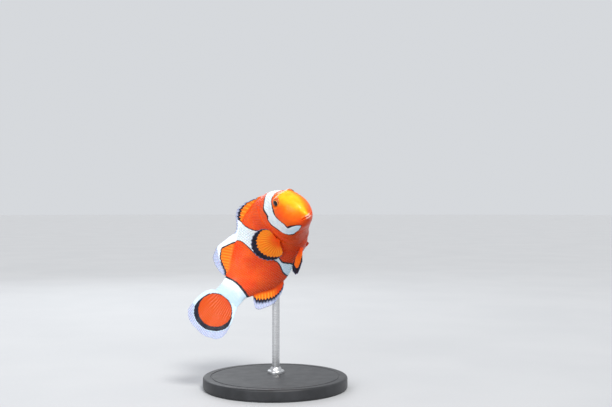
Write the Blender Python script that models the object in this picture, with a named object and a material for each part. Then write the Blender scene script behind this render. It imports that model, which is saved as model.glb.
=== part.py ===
# Adult ocellaris clownfish, life size, turning hard to its right while it
# rises, held on a low round display stand by one upright rod.
# Metres, +Z up. The fish swims towards +X and +Z and turns its face to -Y.
import math
import bpy
import bmesh
import numpy as np
from mathutils import Matrix, Vector

for ob in list(bpy.data.objects):
    bpy.data.objects.remove(ob, do_unlink=True)

# ------------------------------------------------------------- dimensions
UNIT = 0.0640             # one body unit; snout to tail root is 1.05 units
GAP = 0.0003              # clearance between neighbouring pieces
GAPU = GAP / UNIT
FIN_T = 0.00056           # thickness of every fin
EYE_R = 0.00220           # radius of an eyeball
ANCHOR_H = 0.0600         # height of the mid body above the table
ANCHOR_S = 0.54           # station of the mid body

# stations of the three flesh pieces along the body
HEAD_END = 0.30
TRUNK_END = 0.872
TAIL_END = 1.0

# outline along the body, in body units
PS = [-.014, -.006, 0, .015, .04, .08, .13, .18, .23, .28, .36, .45, .55, .65, .75, .85, .93, 1.0]
TOP = [-.003, .0075, .014, .051, .088, .130, .156, .166, .179, .194, .211, .216, .201, .171, .135, .102, .091, .098]
BOT = [-.027, -.037, -.041, -.057, -.076, -.096, -.121, -.157, -.184, -.203, -.222, -.231, -.238, -.240, -.218,
       -.142, -.091, -.086]
WID = [.0096, .019, .023, .041, .070, .096, .110, .118, .122, .123, .119, .110, .096, .077, .056, .037, .025, .016]
FACE_STRETCH = .991      # the face is longer than the station spacing

# bend of the spine: turn to the right, nod and roll at key stations (rad)
KEY_S = [.17, .37, .54, .76, 1.0, 1.28]
KEY_YAW = [1.023, .52, 0.0, -.395, -.80, -.70]
KEY_NOD = [-.380, -.021, 0.0, -.009, -.065, .074]
KEY_ROLL = [-.351, -.138, 0.0, .016, .054, .054]
# attitude of the mid body in the world (rad, about X, Y, Z in turn)
ATT = (.311, -.951, -.347)

EYE_S = .153              # station of the eyes
EYE_Z = .130              # height of the eyes above the body axis
# rim of the tail fin: station and height, from the lower corner to the upper
RIM_A = [-1, -.8, -.5, 0, .5, .8, 1]
RIM_S = [1.205, 1.250, 1.280, 1.292, 1.272, 1.243, 1.205]
RIM_Z = [-.119, -.105, -.070, -.003, .085, .140, .168]
STAND_R = 0.0300          # base disc
STAND_T = 0.0050
ROD_R = 0.0016
ROD_S = .600              # the rod's upper end: station, to the left, height
ROD_LAT = .040
ROD_Z = -.115

SEG = 44                  # points round a body loop


def smooth(x):
    x = np.clip(x, 0.0, 1.0)
    return x * x * (3 - 2 * x)


def curve(xs, ys, x):
    """Monotone cubic through the points."""
    xs = np.asarray(xs, float)
    ys = np.asarray(ys, float)
    x = np.clip(np.asarray(x, float), xs[0], xs[-1])
    h = np.diff(xs)
    d = np.diff(ys) / h
    m = np.zeros_like(ys)
    for i in range(1, len(xs) - 1):
        if d[i - 1] * d[i] > 0:
            w1 = 2 * h[i] + h[i - 1]
            w2 = h[i] + 2 * h[i - 1]
            m[i] = (w1 + w2) / (w1 / d[i - 1] + w2 / d[i])
    m[0] = d[0]
    m[-1] = d[-1]
    k = np.clip(np.searchsorted(xs, x, side='right') - 1, 0, len(xs) - 2)
    t = (x - xs[k]) / h[k]
    return (ys[k] * (1 + 2 * t) * (1 - t) ** 2 + m[k] * h[k] * t * (1 - t) ** 2
            + ys[k + 1] * t * t * (3 - 2 * t) + m[k + 1] * h[k] * t * t * (t - 1))


def key(vals, s):
    xs = [-.05] + KEY_S + [1.6]
    return curve(xs, [vals[0]] + list(vals) + [vals[-1]], s)


def attitude(a, b, c):
    return (Matrix.Rotation(c, 3, 'Z') @ Matrix.Rotation(b, 3, 'Y')
            @ Matrix.Rotation(a, 3, 'X'))


# ------------------------------------------------------------- spine frames
NS = 311
S_MIN = -.05
S_MAX = 1.5
SG = np.linspace(S_MIN, S_MAX, NS)
yaw, nod, roll = key(KEY_YAW, SG), key(KEY_NOD, SG), key(KEY_ROLL, SG)
FWD = np.stack([np.cos(yaw) * np.cos(nod), -np.sin(yaw) * np.cos(nod), np.sin(nod)], -1)
LEF = np.stack([np.sin(yaw), np.cos(yaw), 0 * yaw], -1)
UPW = np.cross(FWD, LEF)
cr, sr = np.cos(roll)[:, None], np.sin(roll)[:, None]
LEF, UPW = LEF * cr + UPW * sr, -LEF * sr + UPW * cr
ds = (SG[1] - SG[0]) * (1 + (FACE_STRETCH - 1) * (1 - smooth((SG - .20) / .08)))
AXIS = -np.cumsum(FWD * ds[:, None], 0)
AXIS = AXIS - AXIS[int(round((ANCHOR_S - S_MIN) / (S_MAX - S_MIN) * (NS - 1)))]
R = np.array(attitude(*ATT))
AXIS, FWD, LEF, UPW = AXIS @ R.T, FWD @ R.T, LEF @ R.T, UPW @ R.T


def frame_at(s):
    x = np.clip((np.asarray(s, float) - S_MIN) / (S_MAX - S_MIN) * (NS - 1), 0, NS - 1.001)
    i = x.astype(int)
    f = (x - i)[..., None]
    return [a[i] * (1 - f) + a[i + 1] * f for a in (AXIS, FWD, LEF, UPW)]


def place(s, lat, z):
    """Body coordinates to the world: station, to the left, towards the back."""
    c, t, l, u = frame_at(s)
    p = c + l * np.asarray(lat, float)[..., None] + u * np.asarray(z, float)[..., None]
    return p * UNIT + np.array([0, 0, ANCHOR_H])


def section(s):
    s = np.clip(s, PS[0], 1)
    return curve(PS, TOP, s), curve(PS, BOT, s), curve(PS, WID, s)


def skin(s, phi, grow=0.0):
    """Point of the flank; phi is 0 on the back and grows down the right side."""
    t, b, w = section(s)
    t, b, w = t + grow, b - grow, w + grow
    return place(s, -w * np.sin(phi), (t + b) / 2 + (t - b) / 2 * np.cos(phi))


def phi_of(s, z):
    t, b, w = section(s)
    return float(np.arccos(np.clip((z - (t + b) / 2) / ((t - b) / 2), -1, 1)))


def gill_edge(phi):
    """Rear edge of the gill cover, forward of or behind the head's end."""
    a = np.abs((phi + math.pi) % (2 * math.pi) - math.pi)
    return curve([0, .5, 1.1, 1.7, 2.3, 2.8, 3.15], [-.012, -.004, .018, .030, .012, -.035, -.055], a)


def warp(s, phi):
    """Lean the loops near the gill cover so that they follow its edge."""
    k = smooth((s - .16) / (HEAD_END - .16)) if s < HEAD_END else 1 - smooth((s - HEAD_END) / .16)
    return s + gill_edge(phi) * k


# ------------------------------------------------------------- mesh helpers
def material(name, rgb, rough):
    m = bpy.data.materials.new(name)
    m.use_nodes = True
    p = m.node_tree.nodes['Principled BSDF']
    p.inputs['Base Color'].default_value = (rgb[0], rgb[1], rgb[2], 1)
    p.inputs['Roughness'].default_value = rough
    return m


def new_object(name, bm, mat, rough_smooth=True):
    bmesh.ops.remove_doubles(bm, verts=bm.verts, dist=1e-7)
    bmesh.ops.recalc_face_normals(bm, faces=bm.faces)
    me = bpy.data.meshes.new(name)
    bm.to_mesh(me)
    bm.free()
    ob = bpy.data.objects.new(name, me)
    bpy.context.scene.collection.objects.link(ob)
    me.materials.append(mat)
    if rough_smooth:
        for p in me.polygons:
            p.use_smooth = True
    return ob


def loops_solid(bm, loops):
    """Closed body through a row of closed loops, fan-capped at both ends."""
    rows = [[bm.verts.new(p) for p in lp] for lp in loops]
    n = len(rows[0])
    for a, b in zip(rows[:-1], rows[1:]):
        for i in range(n):
            j = (i + 1) % n
            bm.faces.new((a[i], a[j], b[j], b[i]))
    for row, flip in ((rows[0], False), (rows[-1], True)):
        c = bm.verts.new(sum((v.co for v in row), Vector()) / n)
        for i in range(n):
            j = (i + 1) % n
            bm.faces.new((row[j], row[i], c) if not flip else (row[i], row[j], c))


def body_piece(name, stations, mat):
    phis = np.linspace(0, 2 * math.pi, SEG, endpoint=False)
    loops = []
    for s in stations:
        sp = np.array([warp(s, p) for p in phis])
        loops.append([tuple(v) for v in skin(sp, phis)])
    bm = bmesh.new()
    loops_solid(bm, loops)
    return new_object(name, bm, mat)


def sheet_solid(name, grid, normals, mat, thick=FIN_T):
    """Closed plate: a grid of points given an even thickness."""
    nu, nv, _ = grid.shape
    bm = bmesh.new()
    a = grid + normals * (thick / 2)
    b = grid - normals * (thick / 2)
    va = [[bm.verts.new(a[i, j]) for j in range(nv)] for i in range(nu)]
    vb = [[bm.verts.new(b[i, j]) for j in range(nv)] for i in range(nu)]
    for i in range(nu - 1):
        for j in range(nv - 1):
            bm.faces.new((va[i][j], va[i + 1][j], va[i + 1][j + 1], va[i][j + 1]))
            bm.faces.new((vb[i][j + 1], vb[i + 1][j + 1], vb[i + 1][j], vb[i][j]))
    ring = ([(i, 0) for i in range(nu)] + [(nu - 1, j) for j in range(1, nv)]
            + [(i, nv - 1) for i in range(nu - 2, -1, -1)] + [(0, j) for j in range(nv - 2, 0, -1)])
    for k in range(len(ring)):
        i, j = ring[k]
        p, q = ring[(k + 1) % len(ring)]
        bm.faces.new((va[i][j], vb[i][j], vb[p][q], va[p][q]))
    return new_object(name, bm, mat)


# ------------------------------------------------------------- materials
M_FLESH = material('flesh_orange', (.86, .17, .02), .35)
M_FIN = material('fin_orange', (.88, .27, .03), .40)
M_EYE = material('eye', (.03, .02, .02), .10)
M_STAND = material('stand_paint', (.045, .047, .052), .45)
M_ROD = material('stand_steel', (.62, .63, .65), .28)

# ------------------------------------------------------------- flesh
head = body_piece('head', [-.014, -.011, -.006, -.001, .003, .008, .015, .025, .038, .054, .073, .095, .118, .142,
                           .166, .190, .214, .238, .262, .282, HEAD_END - GAPU * .9], M_FLESH)
trunk = body_piece('trunk', [HEAD_END + GAPU * .9] + list(np.linspace(.333, TRUNK_END, 18)), M_FLESH)
tail = body_piece('peduncle', [TRUNK_END + GAPU * 1.3, .898, .922, .948, .974, TAIL_END], M_FLESH)

# ------------------------------------------------------------- eyes
EYES = {}
for side, tag in ((1, 'right'), (-1, 'left')):
    ph = side * phi_of(EYE_S, EYE_Z)
    p = skin(np.array(EYE_S), ph)
    c, t, l, u = frame_at(np.array(EYE_S))
    out = -side * l * .955 + u * .22 + t * .20
    out = out / np.linalg.norm(out)
    cen = p - out * (EYE_R * .60)
    EYES[tag] = (cen, out)
    bm = bmesh.new()
    rotq = Vector(out).to_track_quat('Z', 'Y').to_matrix().to_4x4()
    bmesh.ops.create_uvsphere(bm, u_segments=20, v_segments=12, radius=EYE_R)
    bm.transform(Matrix.Translation(Vector(cen)) @ rotq)
    new_object('eye_' + tag, bm, M_EYE)
    bm = bmesh.new()
    bmesh.ops.create_uvsphere(bm, u_segments=20, v_segments=12, radius=EYE_R + GAP)
    bm.transform(Matrix.Translation(Vector(cen)) @ rotq)
    cut = new_object('socket_cutter_' + tag, bm, M_EYE)
    cut.hide_render = True
    cut.display_type = 'WIRE'
    md = head.modifiers.new('socket_' + tag, 'BOOLEAN')
    md.operation = 'DIFFERENCE'
    md.solver = 'EXACT'
    md.object = cut


# ------------------------------------------------------------- median fins
def median_fin(name, s0, s1, height, lean, side, mat, nu=15, nv=6):
    """Fin standing on the back (side 1) or under the belly (side -1)."""
    u = np.linspace(0, 1, nu)[:, None]
    v = np.linspace(0, 1, nv)[None, :]
    s = s0 + (s1 - s0) * u + 0 * v
    h = height(u) + 0 * v
    t, b, w = section(s)
    root = (t if side > 0 else -b) + GAPU * 1.25
    ss = s + v * h * lean(u) + .10 * h * v * v
    tt, bb, ww = section(ss)
    z = side * (root + v * h)
    grid = place(ss, 0 * ss, z)
    nrm = frame_at(ss)[2]
    return sheet_solid(name, grid, nrm, mat)


def hill(u, a, b, p=1.0):
    """Rises from a at the front, falls to b at the rear."""
    return (a * (1 - u) + b * u) + np.sin(math.pi * u ** p)


median_fin('dorsal_fin_spiny', .300, .578,
           lambda u: curve([0, .10, .26, .42, .62, .80, 1], [.006, .022, .056, .067, .053, .030, .020], u),
           lambda u: .60 - .34 * u ** 1.5, 1, M_FIN, nu=17, nv=5)
median_fin('dorsal_fin_soft', .586, .868,
           lambda u: curve([0, .18, .43, .60, .76, .89, 1], [.022, .056, .103, .108, .088, .055, .022], u),
           lambda u: .28 + .22 * u, 1, M_FIN, nu=17, nv=7)
median_fin('anal_fin', .690, .866,
           lambda u: curve([0, .2, .5, .75, .9, 1], [.020, .045, .056, .056, .048, .028], u),
           lambda u: .80 + .90 * u, -1, M_FIN, nu=15, nv=7)

# tail fin: a rounded fan hinged on the end of the peduncle
nu, nv = 23, 8
a = np.linspace(-1, 1, nu)[:, None]
a = np.sign(a) * np.abs(a) ** .85
r = np.linspace(0, 1, nv)[None, :]
t1, b1, w1 = section(np.array(1.0))
tz0 = a * .079 + (float(t1) + float(b1)) / 2
rim_s = curve(RIM_A, RIM_S, a)
rim_z = curve(RIM_A, RIM_Z, a)
swell = np.where(a > 0, .036 * np.sin(math.pi * r ** .60), -.015 * np.sin(math.pi * r ** .75)) * np.abs(a) ** 3
ts = 1.0 + GAPU * 1.4 + r * (rim_s - 1.0)
tz = tz0 + (rim_z - tz0) * r + swell
sheet_solid('caudal_fin', place(ts, 0 * ts, tz), frame_at(ts)[2], M_FIN)


# ------------------------------------------------------------- paired fins
def paired_fin(name, side, s, z, half_root, axis_b, spread_b, length, fan, mat, nu=15, nv=7,
               cup=0.0, round_=.7):
    """Fan from a short root on the flank. axis_b and spread_b are
    (forward, outward, upward) in the frame of the flank at the root."""
    ph = side * phi_of(s, z)
    p = skin(np.array(s), ph)
    t = skin(np.array(s - .01), ph) - skin(np.array(s + .01), ph)
    u = skin(np.array(s), ph - side * .05) - skin(np.array(s), ph + side * .05)
    t, u = t / np.linalg.norm(t), u / np.linalg.norm(u)
    out = np.cross(t, u) * side
    out = out / np.linalg.norm(out)
    ax = t * axis_b[0] + out * axis_b[1] + u * axis_b[2]
    ax = ax / np.linalg.norm(ax)
    sp = t * spread_b[0] + out * spread_b[1] + u * spread_b[2]
    sp = sp - ax * (sp @ ax)
    sp = sp / np.linalg.norm(sp)
    root = sp - out * (sp @ out)
    root = root / np.linalg.norm(root)
    nr = np.cross(ax, sp)
    if nr @ out < 0:
        nr = -nr
    a = np.linspace(-1, 1, nu)[:, None, None]
    r = np.linspace(0, 1, nv)[None, :, None]
    ang = a * fan
    ln = length * np.cos(ang) ** round_ * UNIT
    lift = out * (GAP * 1.15 + FIN_T * .5)
    g = (p + lift + root * (a * half_root * UNIT)
         + ax * (ln * r * np.cos(ang)) + sp * (ln * r * np.sin(ang))
         + nr * (cup * UNIT * (r * r) * (1 - .6 * a * a)))
    n = np.broadcast_to(nr, g.shape)
    return sheet_solid(name, g, n, mat)


PECT_S, PECT_Z = .366, -.066
PELV_S, PELV_Z = .385, -.212
paired_fin('pectoral_fin_right', 1, PECT_S, PECT_Z, .034, (-.656, .459, .630), (.004, .247, .954),
           .178, 1.35, M_FIN, nu=19, cup=.010)
paired_fin('pectoral_fin_left', -1, PECT_S, PECT_Z, .034, (-.93, .36, .08), (.10, .20, 1.0),
           .212, 1.22, M_FIN, nu=19, cup=.010)
paired_fin('pelvic_fin_right', 1, PELV_S, PELV_Z, .016, (-.836, .504, .341), (.648, .652, -.217),
           .171, .446, M_FIN, nu=11, nv=7, round_=6.9)
paired_fin('pelvic_fin_left', -1, PELV_S, PELV_Z, .016, (-.93, .17, .33), (.43, .45, .47),
           .171, .36, M_FIN, nu=11, nv=7, round_=6.9)

# ------------------------------------------------------------- stand
bpy.context.view_layer.update()
flesh_pts = np.concatenate([np.array([v.co[:] for v in o.data.vertices]) for o in (head, trunk, tail)])
rod_head = place(np.array(ROD_S), ROD_LAT, ROD_Z)      # upper end, inside the body
rod_xy = rod_head[:2]
com_xy = flesh_pts.mean(0)[:2]
base_xy = rod_xy * .5 + com_xy * .5


def cylinder(name, x, y, z0, z1, rad, mat, seg, bevel=0.0):
    bm = bmesh.new()
    rings = []
    prof = [(z0, rad - bevel), (z0 + bevel, rad), (z1 - bevel, rad), (z1, rad - bevel)] if bevel else \
        [(z0, rad), (z1, rad)]
    for zz, rr in prof:
        rings.append([(x + rr * math.cos(2 * math.pi * i / seg), y + rr * math.sin(2 * math.pi * i / seg), zz)
                      for i in range(seg)])
    loops_solid(bm, rings)
    ob = new_object(name, bm, mat, False)
    return ob


cylinder('stand_base', base_xy[0], base_xy[1], 0.0, STAND_T, STAND_R, M_STAND, 72, .0006)
cylinder('stand_rod', rod_xy[0], rod_xy[1], STAND_T, rod_head[2], ROD_R, M_ROD, 28)
bore = cylinder('rod_bore_cutter', rod_xy[0], rod_xy[1], STAND_T, rod_head[2] + GAP, ROD_R + GAP, M_ROD, 28)
bore.hide_render = True
bore.display_type = 'WIRE'
md = trunk.modifiers.new('rod_bore', 'BOOLEAN')
md.operation = 'DIFFERENCE'
md.solver = 'EXACT'
md.object = bore

# ------------------------------------------------------------- centre the part
solids = [o for o in bpy.context.scene.objects if o.type == 'MESH' and not o.hide_render]
pts = np.concatenate([np.array([v.co[:] for v in o.data.vertices]) for o in solids])
mid = (pts.min(0) + pts.max(0)) / 2
for o in bpy.context.scene.objects:
    if o.type == 'MESH':
        o.data.transform(Matrix.Translation((-mid[0], -mid[1], 0)))
        o.data.update()
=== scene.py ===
# Looks of the ocellaris clownfish model: one skin over body and fins, scales,
# eyes, and the turned display stand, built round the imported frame.
import math
import bpy
import numpy as np
from mathutils import Vector, Matrix


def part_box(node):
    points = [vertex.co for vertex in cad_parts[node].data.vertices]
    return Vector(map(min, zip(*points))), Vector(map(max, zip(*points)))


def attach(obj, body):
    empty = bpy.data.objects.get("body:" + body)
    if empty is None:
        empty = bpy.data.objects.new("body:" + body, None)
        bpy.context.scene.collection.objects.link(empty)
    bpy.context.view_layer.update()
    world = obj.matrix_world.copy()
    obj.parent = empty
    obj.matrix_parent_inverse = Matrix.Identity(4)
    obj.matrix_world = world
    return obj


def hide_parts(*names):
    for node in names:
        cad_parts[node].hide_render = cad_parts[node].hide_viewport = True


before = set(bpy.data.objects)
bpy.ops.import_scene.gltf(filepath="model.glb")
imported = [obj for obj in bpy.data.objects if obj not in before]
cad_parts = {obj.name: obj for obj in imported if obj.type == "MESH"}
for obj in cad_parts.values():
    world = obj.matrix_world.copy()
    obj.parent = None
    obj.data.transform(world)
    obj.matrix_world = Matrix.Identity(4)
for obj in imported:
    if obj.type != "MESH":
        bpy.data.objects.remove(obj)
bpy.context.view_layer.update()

# --------------------------------------------------------------- dimensions
UNIT = 0.0640
EYE_R = 0.00220
ANCHOR_H = 0.0600
ANCHOR_S = 0.54
HEAD_END = 0.30
PS = [-.014, -.006, 0, .015, .04, .08, .13, .18, .23, .28, .36, .45, .55, .65, .75, .85, .93, 1.0]
TOP = [-.003, .0075, .014, .051, .088, .130, .156, .166, .179, .194, .211, .216, .201, .171, .135, .102, .091, .098]
BOT = [-.027, -.037, -.041, -.057, -.076, -.096, -.121, -.157, -.184, -.203, -.222, -.231, -.238, -.240, -.218,
       -.142, -.091, -.086]
WID = [.0096, .019, .023, .041, .070, .096, .110, .118, .122, .123, .119, .110, .096, .077, .056, .037, .025, .016]
FACE_STRETCH = .991
KEY_S = [.17, .37, .54, .76, 1.0, 1.28]
KEY_YAW = [1.023, .52, 0.0, -.395, -.80, -.70]
KEY_NOD = [-.380, -.021, 0.0, -.009, -.065, .074]
KEY_ROLL = [-.351, -.138, 0.0, .016, .054, .054]
ATT = (.311, -.951, -.347)
EYE_S, EYE_Z = .153, .130
PI = math.pi
COAT = .0016              # the skin lies this far under the solids (0.1 mm)
RNG = np.random.default_rng(7)


def smooth(x):
    x = np.clip(x, 0.0, 1.0)
    return x * x * (3 - 2 * x)


def bell(x, w):
    return np.exp(-(x / w) ** 2)


def curve(xs, ys, x):
    """Monotone cubic through the points."""
    xs = np.asarray(xs, float)
    ys = np.asarray(ys, float)
    x = np.clip(np.asarray(x, float), xs[0], xs[-1])
    h = np.diff(xs)
    d = np.diff(ys) / h
    m = np.zeros_like(ys)
    for i in range(1, len(xs) - 1):
        if d[i - 1] * d[i] > 0:
            w1 = 2 * h[i] + h[i - 1]
            w2 = h[i] + 2 * h[i - 1]
            m[i] = (w1 + w2) / (w1 / d[i - 1] + w2 / d[i])
    m[0] = d[0]
    m[-1] = d[-1]
    k = np.clip(np.searchsorted(xs, x, side='right') - 1, 0, len(xs) - 2)
    t = (x - xs[k]) / h[k]
    return (ys[k] * (1 + 2 * t) * (1 - t) ** 2 + m[k] * h[k] * t * (1 - t) ** 2
            + ys[k + 1] * t * t * (3 - 2 * t) + m[k + 1] * h[k] * t * t * (t - 1))


# --------------------------------------------------------------- spine
NS, S_MIN, S_MAX = 311, -.05, 1.5
SG = np.linspace(S_MIN, S_MAX, NS)


def key(vals, s):
    return curve([-.05] + KEY_S + [1.6], [vals[0]] + list(vals) + [vals[-1]], s)


yaw, nod, roll = key(KEY_YAW, SG), key(KEY_NOD, SG), key(KEY_ROLL, SG)
FWD = np.stack([np.cos(yaw) * np.cos(nod), -np.sin(yaw) * np.cos(nod), np.sin(nod)], -1)
LEF = np.stack([np.sin(yaw), np.cos(yaw), 0 * yaw], -1)
UPW = np.cross(FWD, LEF)
cr, sr = np.cos(roll)[:, None], np.sin(roll)[:, None]
LEF, UPW = LEF * cr + UPW * sr, -LEF * sr + UPW * cr
dsg = (SG[1] - SG[0]) * (1 + (FACE_STRETCH - 1) * (1 - smooth((SG - .20) / .08)))
AXIS = -np.cumsum(FWD * dsg[:, None], 0)
AXIS = AXIS - AXIS[int(round((ANCHOR_S - S_MIN) / (S_MAX - S_MIN) * (NS - 1)))]
ROT = np.array(Matrix.Rotation(ATT[2], 3, 'Z') @ Matrix.Rotation(ATT[1], 3, 'Y') @ Matrix.Rotation(ATT[0], 3, 'X'))
AXIS, FWD, LEF, UPW = AXIS @ ROT.T, FWD @ ROT.T, LEF @ ROT.T, UPW @ ROT.T
HOME = np.array([0.0, 0.0, ANCHOR_H])


def frame_at(s):
    x = np.clip((np.asarray(s, float) - S_MIN) / (S_MAX - S_MIN) * (NS - 1), 0, NS - 1.001)
    i = x.astype(int)
    f = (x - i)[..., None]
    return [a[i] * (1 - f) + a[i + 1] * f for a in (AXIS, FWD, LEF, UPW)]


def place(s, lat, z):
    s, lat, z = np.broadcast_arrays(np.asarray(s, float), np.asarray(lat, float), np.asarray(z, float))
    c, t, l, u = frame_at(s)
    return (c + l * lat[..., None] + u * z[..., None]) * UNIT + HOME


def section(s):
    s = np.clip(s, PS[0], 1)
    return curve(PS, TOP, s), curve(PS, BOT, s), curve(PS, WID, s)


def flank(s, phi, inset=0.0):
    """(lateral, height) of the flank; phi is 0 on the back, positive down the right side."""
    t, b, w = section(s)
    t, b, w = t - inset, b + inset, w - np.minimum(inset, w * .3)
    return -w * np.sin(phi), (t + b) / 2 + (t - b) / 2 * np.cos(phi)


def raw_skin(s, phi, inset=0.0):
    lat, z = flank(s, phi, inset)
    return place(s, lat, z)


def phi_of(s, z):
    t, b, w = section(s)
    return np.arccos(np.clip((z - (t + b) / 2) / ((t - b) / 2), -1, 1))


def gill_edge(phi):
    a = np.abs((phi + PI) % (2 * PI) - PI)
    return curve([0, .5, 1.1, 1.7, 2.3, 2.8, 3.15], [-.012, -.004, .018, .030, .012, -.035, -.055], a)


def warp(s, phi):
    k = np.where(s < HEAD_END, smooth((s - .16) / (HEAD_END - .16)), 1 - smooth((s - HEAD_END) / .16))
    return s + gill_edge(phi) * k


# the part is centred over its origin: the eyeballs tell how far it was moved
EYES = {}
for side, tag in ((1, 'right'), (-1, 'left')):
    ph = side * float(phi_of(EYE_S, EYE_Z))
    p = raw_skin(np.array(EYE_S), ph)
    c, t, l, u = frame_at(np.array(EYE_S))
    out = -side * l * .955 + u * .22 + t * .20
    out = out / np.linalg.norm(out)
    EYES[tag] = [p - out * (EYE_R * .60), out, t, u]
shift = []
for tag in EYES:
    lo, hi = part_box('eye_' + tag)
    shift.append((np.array(lo) + np.array(hi)) / 2 - EYES[tag][0])
HOME = HOME + np.mean(shift, 0)
for tag in EYES:
    EYES[tag][0] = EYES[tag][0] + np.mean(shift, 0)


def skin_normal(s, phi, inset=0.0):
    e = .0015
    a = raw_skin(s + e, phi, inset) - raw_skin(s - e, phi, inset)
    b = raw_skin(s, phi + .01, inset) - raw_skin(s, phi - .01, inset)
    n = np.cross(a, b)
    n /= np.linalg.norm(n, axis=-1, keepdims=True) + 1e-12
    c = place(s, 0 * s, flank(s, PI / 2)[1] + 0 * phi)
    p = raw_skin(s, phi, inset)
    flip = np.sum(n * (p - c), -1) < 0
    n[flip] *= -1
    return n


# --------------------------------------------------------------- relief of the skin
def mouth_line(s):
    """Height of the gape at a station."""
    return curve([-.03, -.014, 0, .015, .03, .05], [-.0145, -.0148, -.0155, -.0185, -.0260, -.038], s)


def relief(s, phi):
    """Height of the skin over the plain outline, in units, and the lip mask."""
    a = np.abs((phi + PI) % (2 * PI) - PI)
    lat, z = flank(s, phi)
    d = z - mouth_line(s)
    fade = 1 - smooth((s - .003) / .018)
    front = smooth((.060 - s) / .02)
    lipr = curve([-.014, .0, .02, .035], [.0072, .0078, .0065, .0035], s)
    lip = (bell(np.abs(d) - lipr, .0050)) * fade
    h = .0036 * lip
    h = h - .0095 * bell(d, .0025) * (1 - smooth((s - .008) / .013))
    h = h - .0022 * (bell(np.abs(d) - lipr - .0115, .0042)) * fade * front
    # corner fold behind the mouth
    h = h - .0014 * bell(s - .025 - .25 * np.abs(d), .004) * bell(d, .014) * smooth((a - .9) / .3)
    # nostrils
    for s0, z0, r0 in ((.090, .100, 1.0), (.108, .116, .7)):
        r = np.hypot(s - s0, (z - z0) * 1.1)
        h = h + r0 * (.0016 * bell(r - .0048, .0018) - .0055 * bell(r, .0026))
    # pores and gentle bumps of the snout and brow
    h = h + .0016 * bell(np.hypot(s - .13, (z - .045) * .8), .03)
    h = h + .0060 * bell(np.hypot((s - EYE_S) * .9, z - EYE_Z - .016), .028)
    # edge of the cheek plate: a round step with a thin groove behind it
    r = np.hypot(s - .095, z + .0)
    th = np.arctan2(z, s - .095)
    on = smooth((.55 - th) / .35) * smooth((th + 1.95) / .35)
    h = h + on * (.0030 * smooth((.121 - r) / .006) * smooth((r - .085) / .03) - .0030 * bell(r - .1235, .0030))
    # second, finer ridge of the cheek
    h = h - on * .0012 * bell(r - .096, .0035)
    # suborbital line
    r2 = np.hypot(s - EYE_S, (z - EYE_Z) * 1.15)
    h = h - .0016 * bell(r2 - .046, .0035) * smooth((EYE_Z - .012 - z) / .02)
    # gill cover: lifted plate ending in a lip, with the slit behind it
    e = s - (HEAD_END + gill_edge(phi))
    open_ = smooth((a - .62) / .25) * smooth((3.02 - a) / .2)
    h = h + open_ * (.0052 * smooth((.002 - e) / .004) * smooth((e + .085) / .06) - .0065 * bell(e - .0042, .0034))
    # lateral line
    e = a - curve([.28, .45, .65, .80, .86], [.52, .50, .58, .86, 1.15], s)
    h = h - .0010 * bell(e, .028) * smooth((s - .30) / .03) * smooth((.86 - s) / .03)
    # flesh: soft unevenness
    h = h + .0011 * np.sin(s * 41 + a * 3.1) * np.sin(a * 4.3 + s * 17) * smooth((s - .05) / .1)
    return h, np.clip(lip * 1.6, 0, 1) * (1 - smooth((s + .012) / .010))


def skin_point(s, phi, lift=0.0):
    """Point of the finished skin, lifted along its normal by lift units."""
    n = skin_normal(s, phi, COAT)
    h, lip = relief(s, phi)
    p = raw_skin(s, phi, COAT) + n * ((h + lift) * UNIT)[..., None]
    return p, n


# --------------------------------------------------------------- markings
# head band: outline as station, angle down from the back, width of the black line
HEAD_BAND = [(.213, -.30, .003), (.213, 0, .003), (.207, .20, .003), (.209, .41, .004), (.204, .63, .005),
             (.194, .825, .011), (.187, 1.07, .012), (.174, 1.24, .007), (.142, 1.52, .0045), (.126, 1.74, .007),
             (.127, 1.90, .012), (.1265, 2.02, .016), (.086, 2.055, .012), (.060, 2.12, .009), (.047, 2.24, .007),
             (.043, 2.36, .005), (.055, 2.47, .004), (.091, 2.56, .004), (.137, 2.46, .005), (.169, 2.17, .006),
             (.193, 1.95, .006), (.226, 1.66, .006), (.257, 1.45, .007), (.262, 1.26, .008), (.245, 1.13, .013),
             (.262, .87, .011), (.261, .46, .004), (.264, 0, .003), (.264, -.30, .003)]
MB_F = ([0, .4, .72, 1.06, 1.2, 1.4, 1.6, 1.85, 2.05, 2.25, 2.45, 2.65, 3.14],
        [.512, .509, .500, .472, .444, .426, .430, .490, .556, .578, .568, .558, .562])
MB_R = ([0, .065, .46, .77, 1.09, 1.32, 1.62, 1.9, 2.08, 2.25, 2.45, 2.65, 3.14],
        [.642, .640, .620, .610, .619, .628, .612, .590, .588, .602, .626, .635, .638])
MB_B = ([0, .5, 1.0, 1.5, 2.0, 2.3, 3.14], [.004, .006, .008, .010, .010, .013, .012])
TB_F = ([0, .55, 1.24, 1.92, 2.64, 3.14], [.886, .887, .884, .896, .907, .909])
DISC = (1.113, .019, .108)
RIM_A = [-1, -.8, -.5, 0, .5, .8, 1]
RIM_S = [1.205, 1.250, 1.280, 1.292, 1.272, 1.243, 1.205]
RIM_Z = [-.119, -.105, -.070, -.003, .085, .140, .168]


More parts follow.
